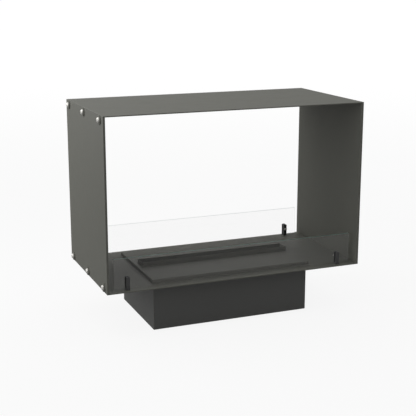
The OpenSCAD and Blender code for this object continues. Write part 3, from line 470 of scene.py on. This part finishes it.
def tank_white():
    """Blow-moulded white with wide shallow waves in the wall."""
    c = colours().tank
    finish = Finish("tank white", c, roughness=0.4, Subsurface_Weight=0.15,
                    Subsurface_Scale=0.004)
    wave = finish.noise(period=0.02, detail=1.0)
    cloud = finish.noise(period=0.09, detail=3.0)
    finish.set(Base_Color=finish.shade(c, 0.94 + cloud * 0.1), Roughness=0.34 + cloud * 0.14)
    return finish.relief(wave, depth=0.0002)


def rubber():
    """Matte rubber with open pores, painted darker inside them as shade."""
    c = colours().rubber
    finish = Finish("rubber", c, roughness=0.85, Specular_IOR_Level=0.25)
    pore_and_shade = finish.step(finish.specks(period=0.0012), 0.1, 0.45)
    # Painted shade: the colour darkens in the pores, where the bumps dip.
    finish.set(Base_Color=finish.shade(c, 0.7 + pore_and_shade * 0.4), Roughness=0.75 + pore_and_shade * 0.15)
    return finish.relief(pore_and_shade, depth=0.00015)


def soft_hose():
    """Milky soft tube with duller and paler stretches."""
    c = colours()
    finish = Finish("soft hose", c.hose, roughness=0.25, Subsurface_Weight=0.2,
                    Subsurface_Scale=0.002)
    cloud = finish.noise(period=0.01)
    return finish.set(Base_Color=finish.mix(cloud, c.hose_dull, c.hose_pale),
                      Roughness=0.16 + cloud * 0.16)


RUN_PITCH, RUN_CORE, RUN_RIM = 0.0018, 0.00035, 0.0005  # copper runs below the solder mask
PAD_PITCH, PAD_CORE, PAD_RIM = 0.00508, 0.0007, 0.0009


def circuit_board():
    """Solder mask over copper runs, with bright pads on a grid."""
    c = colours()
    finish = Finish("circuit board", c.board, roughness=0.35)
    x, y = finish.axis("X") + GRID_START, finish.axis("Y") + GRID_START
    lane = finish.noise(period=0.012, detail=0.0, stretch=(0.25, 1.0, 1.0))
    runs = finish.step((y + lane * 0.004).from_middle(RUN_PITCH), RUN_CORE, RUN_RIM)
    patch = finish.step(finish.noise(period=0.014, detail=0.0), 0.48, 0.52)
    reach = x.from_middle(PAD_PITCH).or_more(y.from_middle(PAD_PITCH))
    pad = (1.0 - finish.step(reach, PAD_CORE, PAD_RIM)) * (1.0 - patch)
    mask = finish.mix(runs * patch, c.board, finish.shade(c.board, 1.9))
    finish.set(Base_Color=finish.mix(pad * 0.9, mask, c.solder),
               Metallic=pad * 0.9, Roughness=0.4 - pad * 0.12)
    return finish.relief(runs * patch + pad, depth=0.00004)


# Pieces

SAME_POINT = 1e-6  # points nearer than this are one
FLAT_ANGLE = math.radians(0.5)  # facets that meet below this angle are one face
SHARP_ANGLE = math.radians(35)  # edges above this angle are rounded
ROUND_STEPS = 2  # facets across a rounded edge
CORNER_STEPS = 5  # facets round a pane's corner
PANE_FACE, PANE_UPPER, PANE_LOWER = 0, 1, 2  # a pane's finishes, by number


def wear(name, finish):
    """Dress a CAD solid in a finish."""
    mesh = frame["nodes"][name].data
    mesh.materials.clear()
    mesh.materials.append(finish.material)


def wear_all(names, finish):
    for name in names:
        wear(name, finish)


def put_in_scene(name, data):
    """A new object that shows a mesh, a lamp or a camera."""
    holder = bpy.data.objects.new(name, data)
    bpy.context.scene.collection.objects.link(holder)
    return holder


def finished_mesh(name, solid, finishes):
    """The solid as a mesh that wears these finishes."""
    mesh = bpy.data.meshes.new(name)
    solid.to_mesh(mesh)
    solid.free()
    for finish in finishes:
        mesh.materials.append(finish.material)
    return mesh


def take_place(piece, node):
    """Let a finer piece stand for a CAD solid and ride where it rides."""
    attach(piece, frame["nodes"][node]["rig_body"])
    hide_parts(node)


def softened(node, radius, finishes):
    """The CAD solid with its facets joined into faces; the last finish is on its round edges."""
    solid = bmesh.new()
    solid.from_mesh(frame["nodes"][node].data)
    bmesh.ops.remove_doubles(solid, verts=solid.verts, dist=SAME_POINT)
    bmesh.ops.dissolve_limit(solid, angle_limit=FLAT_ANGLE, verts=solid.verts,
                             edges=solid.edges)
    for face in solid.faces:
        face.smooth = True
        face.material_index = 0
    name = node + "_soft"
    piece = put_in_scene(name, finished_mesh(name, solid, finishes))
    bevel = piece.modifiers.new("rounded edges", "BEVEL")
    bevel.width, bevel.segments = radius, ROUND_STEPS
    bevel.limit_method, bevel.angle_limit = "ANGLE", SHARP_ANGLE
    bevel.use_clamp_overlap = False
    bevel.material = len(finishes) - 1
    shading = piece.modifiers.new("even shading", "WEIGHTED_NORMAL")
    shading.mode, shading.weight = "FACE_AREA", 100
    take_place(piece, node)


def rounded_outline(half_w, half_h, radius):
    """Points of a rectangle with rounded corners, in x and z, anticlockwise."""
    points = []
    for quarter, (sx, sz) in enumerate(((1, 1), (-1, 1), (-1, -1), (1, -1))):
        for i in range(CORNER_STEPS + 1):
            angle = math.radians(90 * quarter + 90 * i / CORNER_STEPS)
            points.append((sx * (half_w - radius) + radius * math.cos(angle),
                           sz * (half_h - radius) + radius * math.sin(angle)))
    return points


def glass_pane(node, name, finishes):
    """Pane with a ground chamfer round both faces and two finishes for its edges."""
    low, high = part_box(node)
    middle, half = (low + high) / 2, (high - low) / 2
    arris, corner = sizes().pane_arris, sizes().pane_corner
    rings = []
    solid = bmesh.new()
    for y, inset in ((-half.y, arris), (-half.y + arris, 0.0), (half.y - arris, 0.0),
                     (half.y, arris)):
        outline = rounded_outline(half.x - inset, half.z - inset, corner - inset / 2)
        rings.append([solid.verts.new(middle + Vector((x, y, z))) for x, z in outline])
    front = solid.faces.new(rings[0])
    back = solid.faces.new(rings[-1][::-1])
    front.material_index = back.material_index = PANE_FACE
    for near, far in zip(rings, rings[1:]):
        for i in range(len(near)):
            j = (i + 1) % len(near)
            band = solid.faces.new((near[j], near[i], far[i], far[j]))
            upper = min(near[i].co.z, near[j].co.z) > high.z - corner / 2
            band.material_index = PANE_UPPER if upper else PANE_LOWER
    bmesh.ops.recalc_face_normals(solid, faces=solid.faces)
    piece = put_in_scene(name, finished_mesh(name, solid, finishes))
    piece.visible_shadow = False
    take_place(piece, node)


class PieceOperator:
    """What all the fireplace's operators share."""
    bl_options = {"REGISTER", "UNDO"}


class FIREPLACE_OT_frame_sheets(PieceOperator, bpy.types.Operator):
    """Coat the four tunnel sheets and the two side covers, with rounded edges"""
    bl_idname = "fireplace.frame_sheets"
    bl_label = "Frame sheets"

    def execute(self, context):
        finishes = [coat(), edge_highlight_coat()]
        for node in ("top_panel", "floor_panel", "left_wall", "right_wall",
                     "left_cover", "right_cover"):
            softened(node, sizes().sheet_round, finishes)
        return {"FINISHED"}


class FIREPLACE_OT_cassette_shell(PieceOperator, bpy.types.Operator):
    """Coat the deck, the mist outlet with its lid and the housing, with rounded edges"""
    bl_idname = "fireplace.cassette_shell"
    bl_label = "Deck, outlet and housing"

    def execute(self, context):
        satin, plain, edge = coat(), housing_coat(), edge_highlight_coat()
        for finish, nodes in (
                (satin, ("deck_plate", "mist_outlet", "basin_lid")),
                (plain, ("housing_floor", "housing_front", "housing_rear", "housing_left_end",
                         "housing_right_end", "housing_flange"))):
            for node in nodes:
                softened(node, sizes().thin_round, [finish, edge])
        return {"FINISHED"}


class FIREPLACE_OT_glass_panes(PieceOperator, bpy.types.Operator):
    """Make the two glass panes, with a green upper edge and clear lower ones"""
    bl_idname = "fireplace.glass_panes"
    bl_label = "Glass panes"

    def execute(self, context):
        lower = lower_edge()
        for side in CLEAR_IOR:
            finishes = [clear_glass(side), upper_edge(side), lower]
            glass_pane(side + "_glass", side + "_pane", finishes)
        return {"FINISHED"}


class FIREPLACE_OT_glass_clips(PieceOperator, bpy.types.Operator):
    """Dress the clips, their pads and their screws"""
    bl_idname = "fireplace.glass_clips"
    bl_label = "Glass clips"

    def execute(self, context):
        black = clip_black()
        for corner in ("front_left", "front_right", "rear_left", "rear_right"):
            softened("glass_clip_" + corner, sizes().clip_round, [black])
        wear("glass_pads", rubber())
        wear_all(("clip_pinch_screws", "clip_foot_screws"), stainless())
        return {"FINISHED"}


class FIREPLACE_OT_side_screws(PieceOperator, bpy.types.Operator):
    """Dress the domed screws of the side covers and the washers below them"""
    bl_idname = "fireplace.side_screws"
    bl_label = "Side screws"

    def execute(self, context):
        wear("screw_washers", coat())
        wear("cover_screws", stainless("matt stainless", MATT_ROUGHNESS))
        return {"FINISHED"}


class FIREPLACE_OT_light_bars(PieceOperator, bpy.types.Operator):
    """Dress the light bars and their lenses inside the outlet"""
    bl_idname = "fireplace.light_bars"
    bl_label = "Light bars"

    def execute(self, context):
        wear_all(("front_light_bar", "rear_light_bar"), aluminium())
        wear_all(("front_light_lens", "rear_light_lens"), frosted_lens())
        return {"FINISHED"}


class FIREPLACE_OT_mist_works(PieceOperator, bpy.types.Operator):
    """Dress the basin, the mist makers, the level float and the deck's seal"""
    bl_idname = "fireplace.mist_works"
    bl_label = "Basin and mist makers"

    def execute(self, context):
        wear_all(("mist_basin", "maker_nuts"), basin_grey())
        wear_all(("mist_makers", "float_stem"), stainless())
        wear("level_float", tank_white())
        wear("deck_seal", rubber())
        return {"FINISHED"}


class FIREPLACE_OT_water_works(PieceOperator, bpy.types.Operator):
    """Dress the tank, its cap, the pump and the hoses"""
    bl_idname = "fireplace.water_works"
    bl_label = "Tank, pump and hoses"

    def execute(self, context):
        wear("water_tank", tank_white())
        wear("filler_cap", black_plastic())
        wear("water_pump", basin_grey())
        wear_all(("pump_bracket", "pump_motor"), stainless())
        wear_all(("suction_hose", "delivery_hose"), soft_hose())
        return {"FINISHED"}


class FIREPLACE_OT_fans(PieceOperator, bpy.types.Operator):
    """Dress the two fans and their screws"""
    bl_idname = "fireplace.fans"
    bl_label = "Fans"

    def execute(self, context):
        wear_all(("left_fan_frame", "right_fan_frame", "left_fan_rotor", "right_fan_rotor"),
                 black_plastic())
        wear("fan_screws", stainless())
        return {"FINISHED"}


class FIREPLACE_OT_electronics(PieceOperator, bpy.types.Operator):
    """Dress the control board, what stands on it and the power supply"""
    bl_idname = "fireplace.electronics"
    bl_label = "Board and supply"

    def execute(self, context):
        wear("control_board", circuit_board())
        wear("terminal_block", terminal_green())
        wear("board_parts", black_plastic())
        wear("board_spacers", tank_white())
        wear_all(("heat_sink", "power_supply"), aluminium())
        return {"FINISHED"}


class FIREPLACE_OT_rear_fittings(PieceOperator, bpy.types.Operator):
    """Dress the rocker switch and the cable gland in the rear sheet"""
    bl_idname = "fireplace.rear_fittings"
    bl_label = "Switch and gland"

    def execute(self, context):
        wear_all(("switch_frame", "cable_gland", "gland_dome_nut", "gland_lock_nut"),
                 black_plastic())
        wear("switch_rocker", rocker_grey())
        return {"FINISHED"}


# Studio

WHITE = (1.0, 1.0, 1.0)
CAMERA_PLACE = Vector((-1.0820, -2.6308, 1.0024))
CAMERA_LOOKS = Vector((0.3645, 0.9007, -0.2363))
FILM_WIDTH = 36.0  # millimetres
VIEW_END = 500.0  # metres
FLOOR_RADIUS, FLOOR_SIDES = 90.0, 96
FLOOR_DROP = 0.0005  # keeps the floor clear of the housing's underside
GLOW_START, GLOW_END, GLOW_RISE = 0.8, 7.0, 0.06  # the floor grows paler with distance
LAMP_SPREAD = math.radians(65)
LAMP_DISTANCE = 4.0
LAMPS = {  # lamp: the way that its light goes
    "top": (0.08, -0.1, -1.0),
    "left": (0.88, -0.1, -0.45),
    "rear": (0.1, -0.8, -0.62),
    "front": (0.8, 0.5, -0.05),
    "right": (-0.85, 0.1, -0.5),
}
SOFTBOX_PLACE = Vector((-1.0, 0.5, 0.85))
SOFTBOX_AIM = Vector((0.0, 0.0, 0.45))
SOFTBOX_SIZE = 1.0


def aim(holder, place, way):
    """Put a lamp or camera at its place and turn it the way that it looks."""
    holder.location = place
    holder.rotation_euler = way.to_track_quat("-Z", "Y").to_euler()


class FIREPLACE_OT_stage(PieceOperator, bpy.types.Operator):
    """Make the pale floor, the soft lamps, the sky and the camera"""
    bl_idname = "fireplace.stage"
    bl_label = "Floor, lamps and camera"

    def floor(self):
        """Disc that the light finds grey and the eye finds pale, with the shadow kept."""
        c = colours()
        finish = Finish("studio floor", c.floor, roughness=0.9, Specular_IOR_Level=0.0,
                        Emission_Strength=1.0)
        seen, mirrored = finish.seen_rays()
        level = 1.0 - mirrored * (1.0 - studio().shine)
        distance = finish.add("ShaderNodeVectorMath", {"operation": "LENGTH"},
                              {0: finish.place()}, output="Value")
        far = finish.step(distance, GLOW_START, GLOW_END)
        grain = finish.noise(period=0.4)
        pale = finish.shade(c.floor_pale, (0.98 + grain * 0.04) * level)
        glow = finish.shade(c.floor_glow, seen * level * (1.0 + far * GLOW_RISE))
        finish.set(Base_Color=finish.mix(seen, c.floor, pale), Emission_Color=glow)
        solid = bmesh.new()
        bmesh.ops.create_circle(solid, cap_ends=True, radius=FLOOR_RADIUS, segments=FLOOR_SIDES)
        piece = put_in_scene("studio_floor", finished_mesh("studio_floor", solid, [finish]))
        piece.location.z = -FLOOR_DROP

    def sky(self):
        """White to the eye and through glass, dimmer in reflections and as a light."""
        world = bpy.data.worlds.new("studio sky")
        bpy.context.scene.world = world
        world.use_nodes = True
        work = NodeWork(world.node_tree)
        seen, mirrored = work.seen_rays()
        light, shine, white = (
            work.add("ShaderNodeBackground", {}, {"Color": WHITE, "Strength": strength})
            for strength in (studio().sky, studio().shine, 1.0))
        shown = work.add("ShaderNodeMixShader", {}, {0: mirrored, 1: white, 2: shine})
        sky = work.add("ShaderNodeMixShader", {}, {0: seen, 1: light, 2: shown})
        work.plug(work.tree.nodes["World Output"].inputs["Surface"], sky)

    def lamps(self):
        """Wide soft lamps that light the whole fireplace evenly."""
        for name, way in LAMPS.items():
            lamp = bpy.data.lights.new(name + " lamp", "SUN")
            lamp.energy, lamp.angle = getattr(studio(), name), LAMP_SPREAD
            aim(put_in_scene(name + "_lamp", lamp), Vector(way) * -LAMP_DISTANCE, Vector(way))

    def softbox(self):
        """Lamp near enough to the frame for its light to fade across it."""
        lamp = bpy.data.lights.new("softbox", "AREA")
        lamp.shape, lamp.size, lamp.energy = "DISK", SOFTBOX_SIZE, studio().softbox
        holder = put_in_scene("softbox", lamp)
        holder.visible_camera = holder.visible_transmission = False
        aim(holder, SOFTBOX_PLACE, SOFTBOX_AIM - SOFTBOX_PLACE)

    def camera(self):
        """Camera at the photograph's place and angle."""
        camera = bpy.data.cameras.new("photo camera")
        camera.lens, camera.sensor_width = studio().lens, FILM_WIDTH
        camera.clip_end = VIEW_END
        holder = put_in_scene("photo_camera", camera)
        aim(holder, CAMERA_PLACE, CAMERA_LOOKS)
        bpy.context.scene.camera = holder

    def execute(self, context):
        bpy.context.scene.view_settings.view_transform = "Standard"
        self.floor()
        self.sky()
        self.lamps()
        self.softbox()
        self.camera()
        return {"FINISHED"}


STEPS = (FIREPLACE_OT_stage, FIREPLACE_OT_frame_sheets, FIREPLACE_OT_cassette_shell,
         FIREPLACE_OT_glass_panes, FIREPLACE_OT_glass_clips, FIREPLACE_OT_side_screws,
         FIREPLACE_OT_light_bars, FIREPLACE_OT_mist_works, FIREPLACE_OT_water_works,
         FIREPLACE_OT_fans, FIREPLACE_OT_electronics, FIREPLACE_OT_rear_fittings)
GROUPS = (("fireplace_sizes", FireplaceSizes), ("fireplace_colours", FireplaceColours),
          ("fireplace_studio", FireplaceStudio))


class FIREPLACE_PT_panel(bpy.types.Panel):
    """Sidebar panel with the fireplace's steps and settings"""
    bl_idname = "FIREPLACE_PT_panel"
    bl_label = "Water vapour fireplace"
    bl_space_type = "VIEW_3D"
    bl_region_type = "UI"
    bl_category = "Fireplace"

    def draw(self, context):
        for step in STEPS:
            self.layout.operator(step.bl_idname, text=step.bl_label)
        for holder, group in GROUPS:
            box = self.layout.box()
            for name in group.__annotations__:
                box.prop(getattr(context.scene, holder), name)


def register():
    for holder, group in GROUPS:
        bpy.utils.register_class(group)
        setattr(bpy.types.Scene, holder, PointerProperty(type=group))
    for step in STEPS:
        bpy.utils.register_class(step)
    bpy.utils.register_class(FIREPLACE_PT_panel)


def unregister():
    bpy.utils.unregister_class(FIREPLACE_PT_panel)
    for step in reversed(STEPS):
        bpy.utils.unregister_class(step)
    for holder, group in reversed(GROUPS):
        delattr(bpy.types.Scene, holder)
        bpy.utils.unregister_class(group)


def main():
    register()
    for step in STEPS:
        group, name = step.bl_idname.split(".")
        if getattr(getattr(bpy.ops, group), name)() != {"FINISHED"}:
            raise RuntimeError(step.bl_label + " wasn't made")


if __name__ == "__main__":
    main()
